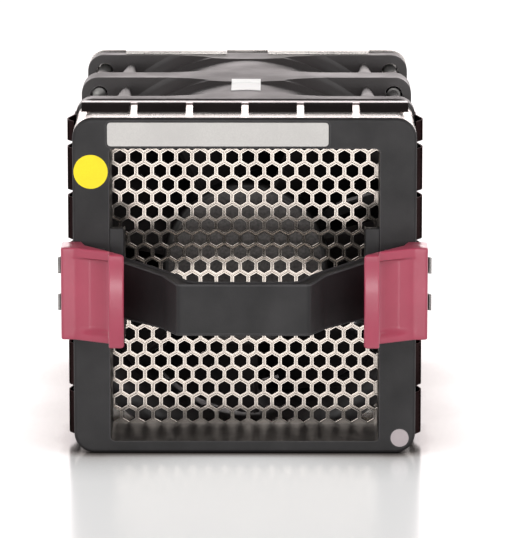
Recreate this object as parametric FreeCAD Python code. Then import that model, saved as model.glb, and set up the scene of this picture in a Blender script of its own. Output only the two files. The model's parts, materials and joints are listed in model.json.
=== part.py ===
"""Hot-swap server fan module: two 80 mm axial fans in line behind a front bezel with a hexagon grille,
a strap handle, two squeeze latches and a sheet-metal collar with spring-finger gaskets.

Millimetres.  Pieces are drawn in a working frame: x to the right, y rearwards from the bezel's front
face, z upwards from the fan axis.  save() moves them to the module's frame, whose origin is the centre
of the bounding box, on the level that the module stands on.
"""
import FreeCAD, Part
import math
import os
from FreeCAD import Vector

# --- fans ---------------------------------------------------------------------------------------
fan_size = 80.0               # square flange, also the module's overall section
fan_depth = 38.0
flange_thickness = 4.2
flange_radius = 4.0
flange_hole_radius = 2.15
flange_hole_inset = 4.25      # from the flange edge, for the standard 71.5 mm hole pitch
bore_inset = 2.6              # bore, inwards from the flange edge
duct_wall = 2.3
band_rise = 1.3               # raised band where the duct starts to flare
band_run = 2.0
bell_round = 5.0              # radius of the flare between duct and flange
bell_sink = 0.3               # start of the flare inside the flange
mouth_round = 5.6             # rounded mouth of the bore
mouth_rim = 1.4               # flat rim left between mouth and flange edge
rib_side_inset = 10.9         # tapered corner ribs, inwards from the flange's other edge
rib_inset = 2.9               # rib centre, inwards from the flange edge
rib_front_radius = 2.7
rib_rear_radius = 0.8
strut_count = 5
strut_width = 2.6
strut_depth = 4.0
strut_phase = 0.0             # degrees, of the first strut from the top

hub_radius = 19.75
hub_wall = 1.4
hub_face = 1.2                # hub face behind the frame's front face
hub_face_thickness = 1.8
hub_edge_radius = 1.0
rotor_length = 30.3
front_blade_count = 7
rear_blade_count = 5
tip_gap = 0.7
blade_thickness = 1.5
blade_start = 4.0
blade_end = 27.5
front_root_half_sweep = 7.0   # half of the blade's width across the air, at the hub
front_tip_half_sweep = 14.0
front_blade_phase = 42.0      # degrees, of the first blade from the top
rear_root_half_sweep = 9.0
rear_tip_half_sweep = 17.0
rear_blade_phase = 8.0
blade_root_depth = 3.0        # start of the blade inside the hub
blade_camber = 2.2

shaft_radius = 1.5
shaft_gap = 0.03              # running clearance in the bearings
bearing_radius = 4.0
bearing_width = 4.0
bearing_inset = 1.0           # from the bearing tube's mouth
bearing_span = 21.0           # front face of one bearing to rear face of the other
tube_wall = 0.9
tube_start = 8.4
yoke_wall = 1.0
yoke_bush_radius = 4.2
yoke_bush_length = 3.4
magnet_wall = 2.7
magnet_length = 20.0
magnet_setback = 5.0          # magnet behind the yoke's closed end
air_gap = 0.5
stator_length = 13.0
stator_yoke = 2.2             # ring of the lamination stack round the bearing tube
tooth_count = 6
tooth_width = 3.0
tooth_tip = 1.4
tooth_tip_width = 10.5
winding_thickness = 1.7
winding_gap = 0.15
base_thickness = 3.0
base_boss_wall = 2.0
base_boss_length = 4.0
board_thickness = 1.0
clip_radius = 2.8
clip_thickness = 0.5
clip_gap = 0.3

# --- bezel, collar and gaskets ------------------------------------------------------------------
collar_step_x = 0.28          # collar side, inwards from the fan flange edge
collar_step_z = 0.55          # collar top and bottom, inwards from the fan flange edge
collar_depth = 26.4           # bezel front face to fan front face
collar_radius = 4.7
sheet = 1.0                   # collar sheet
collar_opening_lip = 2.5      # rear flange left round the air opening
collar_tab_overlap = 5.5      # corner tabs: how far their circle passes the fan's flange edge
plug_fit = 0.12               # bezel body inside the collar
bezel_flange = 1.6
bezel_edge_radius = 0.8
bezel_face_wall = 1.8
opening_side_inset = 8.47     # bezel edge to the recess
opening_top_inset = 7.05
opening_bottom_inset = 2.85
opening_radius = 1.0
grille_setback = 19.3
inner_wall = 1.2              # bezel wall beside the opening
pocket_end_inset = 12.45      # bezel edge to the end of the side pockets
latch_pocket_half = 9.4
latch_rib = 3.6

grille_thickness = 0.8
hex_pitch = 3.76
hex_across_flats = 2.74
hex_top_margin = 1.9          # recess edge to the centre of the top row
grille_screw_side = 3.75      # outwards from the recess
grille_screw_inset = 9.45     # from the bezel's top and bottom edges
grille_screw_radius = 1.25
grille_screw_length = 7.0
pan_head_radius = 2.2
pan_head_height = 1.5

finger_sheet = 0.3
finger_start = 9.7
finger_crest_start = 12.6
finger_crest_end = 15.2
finger_crest_radius = 4.0
finger_foot = 20.5
finger_end = 25.2
finger_height = 1.7
finger_gap = 1.65
top_strip_inset = 1.77
top_finger_count = 6
side_strip_inset = 2.25
side_finger_pitch = 11.6

# --- handle -------------------------------------------------------------------------------------
handle_reach = 28.0           # strap front face, forwards from the bezel face
strap_thickness = 3.4
strap_half_width = 15.25      # front plate
bend_x = 18.6
bend_reach = 22.0
strap_half_height = 5.75
arm_half_height = 6.95
arm_step_radius = 0.8         # between the arm's edge and the foot
foot_half_height = 13.9
foot_thickness = 3.4
foot_start = 0.4              # behind the bezel face
foot_depth = 12.0
foot_corner = 1.5
inner_bend_radius = 6.0
plate_edge_radius = 0.5
bend_radius = 1.5
handle_screw_radius = 1.1
handle_screw_length = 6.0
handle_screw_y = 6.5
countersink_radius = 1.9
countersink_depth = 0.9

# --- latches ------------------------------------------------------------------------------------
latch_travel = 9.0            # degrees, fins squeezed towards the handle
latch_overhang = 2.45         # block side, outwards from the bezel edge
latch_half_height = 10.75
latch_face_gap = 0.5
latch_block_reach = 8.6
latch_corner_radius = 1.0
latch_block_width = 4.5       # block across its rear face
latch_shoulder_x = 3.3        # where the front starts to slope, inwards from the block side
latch_heel_x = 5.6            # where the rear starts to slope, inwards from the block side
latch_heel_y = 5.0
fin_inset = 0.5               # fin, inwards from the recess edge
fin_thickness = 3.4           # at the tip
fin_reach = 20.1
fin_root_y = 14.2
fin_root_thickness = 1.5
fin_tip_radius = 0.7
latch_sweep_radius = 3.0      # in the concave stretches
fin_face_radius = 26.0        # the fin's front edge, seen from the side
scoop_rim = 2.3
scoop_depth = 1.3
neck_thickness = 1.8
neck_inset = 3.3              # inner face, inwards from the bezel's inner body side
neck_root_y = 6.8             # how far the neck reaches into the block
neck_half_height = 8.4
pivot_y = 16.3
pivot_inset = 0.4             # pin axis, inwards from the neck's inner face
pin_radius = 1.0
pin_gap = 0.05
pin_overhang = 3.2            # pin length held in each rib
eye_radius = 2.1
eye_gap_half = 3.2            # room for the spring between the two knuckles
eye_room = 1.2
spring_gap = 0.15
spring_wall = 0.6
spring_wire = 0.5
spring_leg = 8.0
window_gap = 0.35             # round the neck at the end of its swing
hook_sheet = 0.5
hook_overhang = 3.68          # hook tips, outwards from the bezel edge
hook_half_height = 1.9
hook_spacing = 8.7            # between the centres of the two hooks
hook_front = 3.6
hook_rear = 8.8
hook_tail = 0.9               # where the tongue turns forwards, outwards from the bezel edge
hook_window_gap = 0.4
hook_swing = 1.5              # window ahead of the hooks, for their swing
hook_rear_gap = 0.6

# --- trim on the bezel --------------------------------------------------------------------------
label_inset = 0.4             # left end, outwards from the recess edge
label_width = 51.0
label_rise = 0.55             # lower edge, above the recess edge
label_height = 5.5
label_radius = 0.8
label_thickness = 0.3
label_margin = 0.35
sticker_side = 4.25           # centre, outwards from the recess edge
sticker_inset = 12.45         # centre, downwards from the bezel's top edge
sticker_radius = 3.95
sticker_thickness = 0.15
lens_inset = 3.63             # centre, from the bezel's right and lower edges
lens_radius = 2.1
lens_head = 1.0
light_pipe_radius = 1.3
pipe_fit = 0.05
led_radius = 1.2
led_height = 1.2
led_board_half = 2.9
led_board_gap = 0.4           # between the board and the grille's notch
fan_label_half_width = 3.5
fan_label_start = 15.6        # behind the fan's front face
fan_label_end = 30.5
fan_label_thickness = 0.15

# --- rear cap, connector and long screws --------------------------------------------------------
cap_sheet = 0.8
cap_fit = 0.1
cap_depth = 5.6
cap_lap = 3.2                 # tabs forwards over the fan flange
cap_tab_inner = 5.1
cap_tab_inset = 9.5           # outer end of each tab, from the flange edge
cap_tab_radius = 1.2
cap_bore_gap = 0.2            # cap bore, outwards from the fan bore
cap_side_inset = 10.0
tongue_half_width = 14.0
tongue_inset = 12.4           # top of the connector's tongue, from the flange edge
plug_half_width = 8.5
plug_half_height = 3.7
plug_inset = 7.0              # connector centre, from the flange edge
plug_front = 3.0              # connector body ahead of the cap's rear face
plug_rear = 6.0
plug_wall = 1.2
plug_floor = 1.5
plug_ear_half = 13.2
plug_ear_half_height = 4.2
plug_ear_thickness = 1.6
plug_screw_x = 11.0
plug_screw_radius = 1.0
plug_screw_head = 1.9
plug_screw_length = 4.5
contact_columns = 6
contact_pitch = 2.2
contact_size = 0.6
contact_row_offset = 1.2
contact_tail = 2.0
long_screw_radius = 1.65
long_screw_thread = 6.0       # threaded length, as wide as the flange holes
long_screw_head_radius = 3.4
collar_screw_radius = 1.25
collar_screw_gap = 0.15       # round its shank in the collar's corner tab
collar_screw_head_radius = 2.4
collar_screw_end = 1.0        # beyond the nut
screw_head_height = 2.0
nut_across_flats = 4.4
nut_height = 2.0

# --- worked out from the sizes above ------------------------------------------------------------
half_fan = fan_size / 2
bore_radius = half_fan - bore_inset
mouth_radius = bore_radius + mouth_round
flange_hole_offset = half_fan - flange_hole_inset
rib_offset = half_fan - rib_side_inset
collar_half_x = half_fan - collar_step_x
collar_half_z = half_fan - collar_step_z
plug_half_x = collar_half_x - sheet - plug_fit
plug_half_z = collar_half_z - sheet - plug_fit
plug_radius = collar_radius - sheet - plug_fit
opening_half_width = collar_half_x - opening_side_inset
opening_top = collar_half_z - opening_top_inset
opening_bottom = opening_bottom_inset - collar_half_z
pocket_end = collar_half_z - pocket_end_inset
pocket_inner = opening_half_width + inner_wall
pocket_outer = plug_half_x - inner_wall
grille_screw_x = opening_half_width + grille_screw_side
grille_screw_z = collar_half_z - grille_screw_inset
top_strip_half = collar_half_x - top_strip_inset
side_strip_half = collar_half_z - side_strip_inset
neck_inner = plug_half_x - neck_inset
pivot_x = neck_inner - pivot_inset
label_left = -opening_half_width - label_inset
label_bottom = opening_top + label_rise
lens_x = collar_half_x - lens_inset
lens_z = lens_inset - collar_half_z
plug_z = plug_inset - half_fan
duct_radius = bore_radius + duct_wall
tip_radius = bore_radius - tip_gap
yoke_radius = hub_radius - hub_wall
magnet_radius = yoke_radius - yoke_wall
stator_radius = magnet_radius - magnet_wall - air_gap
tube_radius = bearing_radius + tube_wall
yoke_start = hub_face + hub_face_thickness
tube_end = fan_depth - base_thickness / 2
front_bearing_y = tube_start + bearing_inset
rear_bearing_end = front_bearing_y + bearing_span
stator_start = front_bearing_y + (bearing_span - stator_length) / 2
front_fan_y = collar_depth
rear_fan_y = collar_depth + fan_depth
stack_end = rear_fan_y + fan_depth
cap_end = stack_end + cap_depth
rear_reach = cap_end + plug_rear
stand_level = -(half_fan + cap_fit + cap_sheet)
module_length = handle_reach + rear_reach
to_module_frame = Vector(0, handle_reach - module_length / 2, -stand_level)


# --- drawing helpers ----------------------------------------------------------------------------
def box(x0, x1, y0, y1, z0, z1):
    return Part.makeBox(x1 - x0, y1 - y0, z1 - z0, Vector(x0, y0, z0))


def rod(x, z, radius, y0, y1):
    """Cylinder along y."""
    return Part.makeCylinder(radius, y1 - y0, Vector(x, y0, z), Vector(0, 1, 0))


def ring(outer, inner, y0, y1):
    """Tube along y, round the fan axis."""
    return rod(0, 0, outer, y0, y1).cut(rod(0, 0, inner, y0 - 1, y1 + 1))


def post(x, y, radius, z0, z1):
    """Cylinder along z."""
    return Part.makeCylinder(radius, z1 - z0, Vector(x, y, z0))


def rounded_wire(corners):
    """Closed wire through (point, radius) corners, each with a round corner of that radius."""
    edges = []
    points = [corner[0] for corner in corners]
    count = len(corners)
    starts = []
    ends = []
    arcs = []
    for i, (point, radius) in enumerate(corners):
        to_last = (points[i - 1] - point).normalize()
        to_next = (points[(i + 1) % count] - point).normalize()
        half = to_last.getAngle(to_next) / 2
        if radius == 0:
            starts.append(point)
            ends.append(point)
            arcs.append(None)
            continue
        trim = radius / math.tan(half)
        start = point + to_last * trim
        end = point + to_next * trim
        bisector = (to_last + to_next).normalize()
        middle = point + bisector * (radius / math.sin(half) - radius)
        starts.append(start)
        ends.append(end)
        arcs.append(Part.Arc(start, middle, end).toShape())
    for i in range(count):
        if arcs[i]:
            edges.append(arcs[i])
        after = starts[(i + 1) % count]
        if (after - ends[i]).Length > 1e-6:
            edges.append(Part.LineSegment(ends[i], after).toShape())
    return Part.Wire(edges)


def slab(x0, x1, z0, z1, radius, y0, y1):
    """Plate across the module with round corners, from y0 to y1."""
    corners = [(Vector(x0, y0, z0), radius), (Vector(x1, y0, z0), radius)]
    corners += [(Vector(x1, y0, z1), radius), (Vector(x0, y0, z1), radius)]
    return Part.Face(rounded_wire(corners)).extrude(Vector(0, y1 - y0, 0))


def plan(corners, z0, z1):
    """Outline in the x-y plane, as (x, y, corner radius), extruded from z0 to z1."""
    wire = rounded_wire([(Vector(x, y, z0), radius) for x, y, radius in corners])
    return Part.Face(wire).extrude(Vector(0, 0, z1 - z0))


def turned(profile):
    """Closed (radius, y, corner radius) profile turned about the fan axis."""
    wire = rounded_wire([(Vector(r, y, 0), corner) for r, y, corner in profile])
    return Part.Face(wire).revolve(Vector(0, 0, 0), Vector(0, 1, 0), 360)


def turn(shape, degrees):
    copy = shape.copy()
    copy.rotate(Vector(0, 0, 0), Vector(0, 1, 0), degrees)
    return copy


def shift(shape, x=0, y=0, z=0):
    copy = shape.copy()
    copy.translate(Vector(x, y, z))
    return copy


def mirrored(shape):
    """Left-hand copy of a right-hand piece."""
    return shape.mirror(Vector(0, 0, 0), Vector(1, 0, 0))


def four_corners(x, z):
    return [(sx * x, sz * z) for sx in (-1, 1) for sz in (-1, 1)]


def save(name, *solids):
    shape = solids[0] if len(solids) == 1 else Part.makeCompound(list(solids))
    shape = shape.copy()
    shape.translate(to_module_frame)
    shape.exportStep("parts/" + name + ".step")


# --- bezel --------------------------------------------------------------------------------------
def bezel():
    face = slab(-collar_half_x, collar_half_x, -collar_half_z, collar_half_z, collar_radius, 0, bezel_flange)
    rim = [edge for edge in face.Edges if edge.BoundBox.YMax < 1e-6]
    body = face.makeFillet(bezel_edge_radius, rim)
    plug = slab(-plug_half_x, plug_half_x, -plug_half_z, plug_half_z, plug_radius, bezel_flange, grille_setback)
    opening = slab(-opening_half_width, opening_half_width, opening_bottom, opening_top,
                   opening_radius, -1, grille_setback + 1)
    cuts = [opening, label_recess(), light_pipe_hole()]
    for side in (-1, 1):
        for tool in side_pockets() + latch_openings():
            cuts.append(tool if side > 0 else mirrored(tool))
    for x, z in four_corners(grille_screw_x, grille_screw_z):
        cuts.append(rod(x, z, grille_screw_radius, screw_tip_y(), grille_setback + 1))
    for side in (-1, 1):
        for z in handle_screw_heights():
            hole = Part.makeCylinder(handle_screw_radius, handle_screw_length,
                                     Vector(foot_inner(), handle_screw_y, z), Vector(1, 0, 0))
            cuts.append(hole if side > 0 else mirrored(hole))
    return body.fuse(plug).removeSplitter().cut(cuts)


def side_pockets():
    """Hollows in the bezel's right side wall, open at the rear: one for the latch, two to save plastic."""
    rib_end = latch_pocket_half + latch_rib
    spans = [(-latch_pocket_half, latch_pocket_half), (rib_end, pocket_end), (-pocket_end, -rib_end)]
    return [box(pocket_inner, pocket_outer, bezel_face_wall, grille_setback + 1, z0, z1) for z0, z1 in spans]


def latch_openings():
    """Window for the latch neck, window for its hook plate, and the bores that hold its pin."""
    swing = neck_inner - math.radians(latch_travel) * pivot_y - window_gap
    half = neck_half_height + hook_window_gap
    window = box(swing, pocket_outer, -1, bezel_face_wall + 1, -half, half)
    spine_half = hook_spacing / 2 + hook_half_height + hook_window_gap
    hooks = box(neck_inner, collar_half_x, hook_front - hook_swing, hook_rear + hook_rear_gap,
                -spine_half, spine_half)
    pin = post(pivot_x, pivot_y, pin_radius, -pin_half(), pin_half())
    return [window, hooks, pin]


def pin_half():
    return latch_pocket_half + pin_overhang


def handle_screw_heights():
    level = latch_pocket_half + latch_rib / 2
    return (-level, level)


def foot_inner():
    return opening_half_width - foot_thickness


def screw_tip_y():
    return grille_setback + grille_thickness - grille_screw_length


def label_recess():
    return slab(label_left - label_margin, label_left + label_width + label_margin, label_bottom - label_margin,
                label_bottom + label_height + label_margin, label_radius + label_margin, -1, label_thickness)


def light_pipe_hole():
    head = rod(lens_x, lens_z, lens_radius + pipe_fit, -1, lens_head)
    stem = rod(lens_x, lens_z, light_pipe_radius + pipe_fit, 0, grille_setback + 1)
    return head.fuse(stem)


def label_plate():
    return slab(label_left, label_left + label_width, label_bottom, label_bottom + label_height,
                label_radius, 0, label_thickness)


def light_pipe():
    head = rod(lens_x, lens_z, lens_radius, 0, lens_head)
    return head.fuse(rod(lens_x, lens_z, light_pipe_radius, lens_head, led_tip_y()))


def led_tip_y():
    return grille_setback - led_height


# --- grille and collar --------------------------------------------------------------------------
def hexagon(x, z, y, across_flats):
    reach = across_flats / math.sqrt(3)
    corners = [Vector(x + reach * math.sin(math.radians(60 * i)), y, z + reach * math.cos(math.radians(60 * i)))
               for i in range(7)]
    return Part.makePolygon(corners)


def hex_grille():
    """Plate behind the recess: staggered rows of hexagons, as many as the recess has room for."""
    y = grille_setback
    row_pitch = hex_pitch * math.sqrt(3) / 2
    columns = int(2 * opening_half_width / hex_pitch) + 1
    rows = int((opening_top - hex_top_margin - opening_bottom) / row_pitch) + 1
    holes = []
    for row in range(rows):
        left = -opening_half_width + (0 if row % 2 == 0 else hex_pitch / 2)
        for column in range(columns):
            z = opening_top - hex_top_margin - row * row_pitch
            holes.append(hexagon(left + column * hex_pitch, z, y, hex_across_flats))
    outline = Part.Face(rounded_wire([(Vector(x, y, z), plug_radius) for x, z in (
        (-plug_half_x, -plug_half_z), (plug_half_x, -plug_half_z),
        (plug_half_x, plug_half_z), (-plug_half_x, plug_half_z))]))
    face = Part.makeFace([outline.OuterWire] + holes, "Part::FaceMakerBullseye")
    sheet_solid = face.extrude(Vector(0, grille_thickness, 0))
    cuts = [rod(x, z, grille_screw_radius, y - 1, y + 2) for x, z in four_corners(grille_screw_x, grille_screw_z)]
    notch = led_board_half + led_board_gap
    cuts.append(box(lens_x - notch, half_fan, y - 1, y + 2, -half_fan, lens_z + notch))
    return sheet_solid.cut(cuts)


def grille_screws():
    seat = grille_setback + grille_thickness
    screws = []
    for x, z in four_corners(grille_screw_x, grille_screw_z):
        shank = rod(x, z, grille_screw_radius, screw_tip_y(), seat)
        screws.append(shank.fuse(rod(x, z, pan_head_radius, seat, seat + pan_head_height)))
    return screws


def led_board():
    half = led_board_half
    y = grille_setback
    board = box(lens_x - half, half_fan, y, y + board_thickness, -half_fan, lens_z + half)
    board = board.common(slab(-plug_half_x, plug_half_x, -plug_half_z, plug_half_z, plug_radius, y, y + 5))
    return board.fuse(rod(lens_x, lens_z, led_radius, led_tip_y(), y))


def collar():
    """Sheet sleeve round the bezel; its rear flange is open but for a lip and four corner tabs."""
    inner_radius = collar_radius - sheet
    outer = slab(-collar_half_x, collar_half_x, -collar_half_z, collar_half_z,
                 collar_radius, bezel_flange, collar_depth)
    hollow = slab(sheet - collar_half_x, collar_half_x - sheet, sheet - collar_half_z, collar_half_z - sheet,
                  inner_radius, bezel_flange - 1, collar_depth - sheet)
    lip = half_fan - collar_opening_lip
    air = slab(-lip, lip, -lip, lip, inner_radius, 0, collar_depth + 1)
    cuts = [hollow, air.common(rod(0, 0, half_fan + collar_tab_overlap, 0, collar_depth + 1))]
    for x, z in four_corners(flange_hole_offset, flange_hole_offset):
        cuts.append(rod(x, z, collar_screw_radius + collar_screw_gap, collar_depth - 2, collar_depth + 1))
    half = hook_half_height + hook_window_gap
    for sign in (-1, 1):
        level = sign * hook_spacing / 2
        window = box(plug_half_x, half_fan, hook_front - hook_swing, hook_rear + hook_rear_gap,
                     level - half, level + half)
        cuts.append(window)
        cuts.append(mirrored(window))
    return outer.cut(cuts)


def finger_strip(base, height, gaps, half_length):
    """Strip of spring fingers along x on the plane z = base: a foot at the rear, arches slit at gaps."""
    t = finger_sheet
    bend = finger_crest_radius
    outer = [(finger_start, base, 0), (finger_crest_start, base + height, bend),
             (finger_crest_end, base + height, bend), (finger_foot, base + t, bend),
             (finger_end, base + t, 0), (finger_end, base, 0)]
    inner = [(finger_foot - t, base, bend / 2), (finger_crest_end - t / 2, base + height - t, bend - t),
             (finger_crest_start + t / 2, base + height - t, bend - t), (finger_start + 2 * t, base, 0)]
    wire = rounded_wire([(Vector(-half_length, y, z), radius) for y, z, radius in outer + inner])
    strip = Part.Face(wire).extrude(Vector(2 * half_length, 0, 0))
    half = finger_gap / 2
    slits = [box(x - half, x + half, finger_start - 1, finger_foot + 1, base - 1, base + height + 1) for x in gaps]
    return strip.cut(slits)


def gasket_strips():
    middle = (top_finger_count - 2) / 2
    pitch = (2 * top_strip_half + finger_gap) / top_finger_count
    across = [(i - middle) * pitch for i in range(top_finger_count - 1)]
    upright = [(i + 1) * side_finger_pitch - finger_gap / 2 - side_strip_half
               for i in range(int(2 * side_strip_half / side_finger_pitch))]
    top = finger_strip(collar_half_z, finger_height, across, top_strip_half)
    bottom = finger_strip(collar_half_z, -stand_level - collar_half_z, across, top_strip_half)
    bottom.rotate(Vector(0, 0, 0), Vector(0, 1, 0), 180)
    right = finger_strip(collar_half_x, finger_height, [-level for level in upright], side_strip_half)
    right.rotate(Vector(0, 0, 0), Vector(0, 1, 0), 90)
    return {"gasket_top": top, "gasket_bottom": bottom, "gasket_right": right, "gasket_left": mirrored(right)}


# --- handle -------------------------------------------------------------------------------------
def handle():
    """Strap bent from one thickness: a front plate, two slanting arms and a foot on each recess wall."""
    outer = [(strap_half_width, -handle_reach, plate_edge_radius), (bend_x, -bend_reach, bend_radius),
             (opening_half_width, foot_start, 0)]
    run = Vector(opening_half_width - bend_x, foot_start + bend_reach, 0).normalize()
    inwards = Vector(-run.y, run.x, 0) * strap_thickness
    foot_x = foot_inner()
    back_y = strap_thickness - handle_reach
    start = Vector(bend_x, -bend_reach, 0) + inwards
    meet_plate = start + run * ((back_y - start.y) / run.y)
    meet_foot = start + run * ((foot_x - start.x) / run.x)
    inner = [(opening_half_width, foot_depth, foot_corner), (foot_x, foot_depth, foot_corner),
             (foot_x, meet_foot.y, bend_radius), (meet_plate.x, back_y, inner_bend_radius)]
    right = outer + inner
    left = [(-x, y, radius) for x, y, radius in reversed(right)]
    strap = plan(right + left, -foot_half_height, foot_half_height)
    upper = [(-handle_reach - 1, strap_half_height, 0), (-bend_reach, strap_half_height, 0),
             (foot_start, arm_half_height, arm_step_radius), (foot_start, foot_half_height, arm_step_radius / 2),
             (foot_depth + 1, foot_half_height, 0)]
    lower = [(y, -z, radius) for y, z, radius in reversed(upper)]
    wire = rounded_wire([(Vector(-half_fan, y, z), radius) for y, z, radius in upper + lower])
    side = Part.Face(wire).extrude(Vector(fan_size, 0, 0))
    right_screws = [handle_screw(z) for z in handle_screw_heights()]
    return strap.common(side).cut(right_screws + [mirrored(screw) for screw in right_screws])


def handle_screw(z):
    start = Vector(foot_inner(), handle_screw_y, z)
    along = Vector(1, 0, 0)
    shank = Part.makeCylinder(handle_screw_radius, handle_screw_length, start, along)
    head = Part.makeCone(countersink_radius, handle_screw_radius, countersink_depth, start, along)
    return shank.fuse(head)


def handle_screws():
    right = [handle_screw(z) for z in handle_screw_heights()]
    return right + [mirrored(screw) for screw in right]


# --- latches ------------------------------------------------------------------------------------
def latch():
    """Thumb block beside the bezel that sweeps forwards into a fin; neck and knuckles behind it."""
    half = latch_half_height
    side = collar_half_x + latch_overhang
    shoulder = side - latch_shoulder_x
    tip_outer = opening_half_width - fin_inset
    tip_inner = tip_outer - fin_thickness
    root_outer = tip_outer + fin_inset
    outline = [(side, -latch_face_gap, latch_corner_radius / 2), (side, -latch_block_reach, latch_corner_radius),
               (shoulder, -latch_block_reach, latch_sweep_radius), (root_outer, -fin_root_y, latch_sweep_radius),
               (tip_outer, fin_tip_radius - fin_reach, fin_tip_radius), (tip_inner, -fin_reach, fin_tip_radius),
               (root_outer - fin_root_thickness, -fin_root_y, latch_sweep_radius),
               (side - latch_heel_x, -latch_heel_y, latch_sweep_radius),
               (side - latch_block_width, -latch_face_gap, latch_corner_radius / 4)]
    body = plan(outline, -half, half)
    dome = Part.makeCylinder(fin_face_radius, side, Vector(0, fin_face_radius - fin_reach, 0), Vector(1, 0, 0))
    body = body.common(dome.fuse(box(root_outer, side + 1, -fin_reach, 0, -half, half)))
    scoop = plan([(shoulder, -fin_reach, 0), (shoulder, -latch_block_reach, 0),
                  (root_outer + 2 * scoop_depth, scoop_depth - fin_root_y + scoop_depth / 2, 0),
                  (root_outer + scoop_depth / 2, -fin_root_y, 0), (root_outer + scoop_depth / 2, -fin_reach, 0)],
                 scoop_rim - half, half - scoop_rim)
    neck = box(neck_inner, neck_inner + neck_thickness, -neck_root_y, pivot_y, -neck_half_height, neck_half_height)
    eye = post(pivot_x, pivot_y, eye_radius, -neck_half_height, neck_half_height)
    bore = post(pivot_x, pivot_y, pin_radius + pin_gap, -half, half)
    slot = post(pivot_x, pivot_y, eye_radius + eye_room, -eye_gap_half, eye_gap_half)
    return body.cut(scoop).fuse([neck, eye]).removeSplitter().cut([bore, slot])


def latch_pin():
    return post(pivot_x, pivot_y, pin_radius, -pin_half(), pin_half())


def latch_hook():
    """Sheet-metal plate on the neck with two tongues that run outwards, then turn forwards to a catch edge."""
    inner = neck_inner + neck_thickness
    t = hook_sheet
    tip = collar_half_x + hook_overhang
    tail = collar_half_x + hook_tail
    reach = hook_spacing / 2 + hook_half_height
    plate = box(inner, inner + t, hook_front, hook_rear, -reach, reach)
    outline = [(inner, hook_rear, 0), (tail, hook_rear, t), (tip, hook_front, 0), (tip - t, hook_front, 0),
               (tail - t, hook_rear - t, t / 2), (inner, hook_rear - t, 0)]
    tongues = [plan(outline, level - hook_half_height, level + hook_half_height)
               for level in (-hook_spacing / 2, hook_spacing / 2)]
    return plate.fuse(tongues).removeSplitter()


def latch_spring():
    """Close-wound torsion spring round the pin, one leg on the neck and one on the pocket wall."""
    inner = pin_radius + spring_gap
    outer = inner + spring_wall
    half = eye_gap_half - spring_gap
    coil = post(pivot_x, pivot_y, outer, -half, half).cut(post(pivot_x, pivot_y, inner, -half - 1, half + 1))
    radius = spring_wire / 2
    level = half - radius
    start = pivot_y - spring_leg
    neck_leg = rod(neck_inner - radius, level, radius, start, pivot_y - inner - radius)
    wall_leg = rod(pocket_inner + radius, -level, radius, start, pivot_y - inner / 2)
    reach = pivot_x - inner - pocket_inner
    wall_bend = Part.makeCylinder(0.8 * radius, reach - radius, Vector(pocket_inner + radius,
                                  pivot_y - inner / 2 - radius, -level), Vector(1, 0, 0))
    return coil.fuse([neck_leg, wall_leg, wall_bend])


# --- fans ---------------------------------------------------------------------------------------
def duct(skin):
    """Outside of the round duct with its raised bands and flares, clipped by the flange square."""
    wall = duct_radius + skin
    band = wall + band_rise
    rim = band + bell_round + bell_sink
    level = flange_thickness - bell_sink
    front = [(0, 0, 0), (rim, 0, 0), (rim, level, 0), (band, level, bell_round - skin),
             (band, flange_thickness + bell_round, 0), (wall, flange_thickness + bell_round + band_run, 0)]
    rear = [(r, fan_depth - y, corner) for r, y, corner in reversed(front)]
    half = half_fan + skin
    return turned(front + rear).common(slab(-half, half, -half, half, flange_radius, 0, fan_depth))


def mouth():
    """Rounded mouth of the bore, to be cut from the front flange, clipped to leave a rim round it."""
    air = turned([(0, -1, 0), (mouth_radius, -1, 0), (mouth_radius, 0, 0), (bore_radius, 0, mouth_round),
                  (bore_radius, mouth_round, 0), (0, mouth_round, 0)])
    half = half_fan - mouth_rim
    return air.common(slab(-half, half, -half, half, flange_radius, -1, mouth_round))


def fan_frame():
    ends = [slab(-half_fan, half_fan, -half_fan, half_fan, flange_radius, y, y + flange_thickness)
            for y in (0, fan_depth - flange_thickness)]
    ribs = []
    edge = half_fan - rib_inset
    for x, z in four_corners(rib_offset, edge) + four_corners(edge, rib_offset):
        ribs.append(Part.makeCone(rib_front_radius, rib_rear_radius, fan_depth - 2 * flange_thickness,
                                  Vector(x, flange_thickness, z), Vector(0, 1, 0)))
    body = ends[0].fuse([ends[1], duct(0)] + ribs)
    cuts = [rod(0, 0, bore_radius, -1, fan_depth + 1), mouth(),
            mouth().mirror(Vector(0, fan_depth / 2, 0), Vector(0, 1, 0))]
    for x, z in four_corners(flange_hole_offset, flange_hole_offset):
        cuts.append(rod(x, z, flange_hole_radius, -1, fan_depth + 1))
    body = body.cut(cuts)
    bars = []
    for i in range(strut_count):
        bar = box(-strut_width / 2, strut_width / 2, fan_depth - strut_depth, fan_depth,
                  hub_radius - 1, mouth_radius)
        bars.append(turn(bar, 360 * i / strut_count + strut_phase))
    half = half_fan - mouth_rim / 2
    within = slab(-half, half, -half, half, flange_radius, 0, fan_depth)
    struts = [bar.common(within) for bar in bars]
    base = rod(0, 0, hub_radius, fan_depth - base_thickness, fan_depth)
    boss_start = fan_depth - base_thickness - base_boss_length
    boss = rod(0, 0, tube_radius + base_boss_wall, boss_start, fan_depth - base_thickness)
    frame = body.fuse(struts + [base, boss])
    return frame.cut(rod(0, 0, tube_radius, boss_start - 1, tube_end))


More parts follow.
